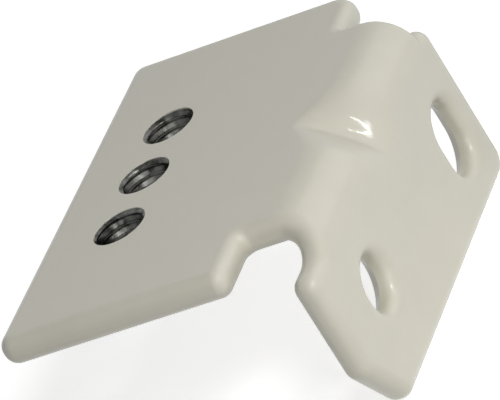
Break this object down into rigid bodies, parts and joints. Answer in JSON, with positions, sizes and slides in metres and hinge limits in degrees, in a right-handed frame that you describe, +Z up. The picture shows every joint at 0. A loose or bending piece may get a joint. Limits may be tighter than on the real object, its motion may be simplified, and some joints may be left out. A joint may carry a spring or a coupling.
{
  "type": "wall bracket",
  "caption": "Small folded steel wall bracket with a tapped shelf leaf, a slotted fixing leaf, notched bend ends and a pressed stiffening dart.",
  "frame": {"origin": "on the wall face, at the shelf leaf's mid-width, level with the round fixing hole", "axes": "+X along the bend towards the end with the round fixing hole, +Y into the wall, +Z up; the shelf leaf stands out towards -Y"},
  "size_m": [0.0422, 0.03, 0.0185],
  "materials": {
    "powder_coat": "satin off-white powder coat",
    "bare_steel": "cut thread in bare steel"
  },
  "bodies": {
    "root": {"bracket": "powder_coat"}
  },
  "joints": []
}
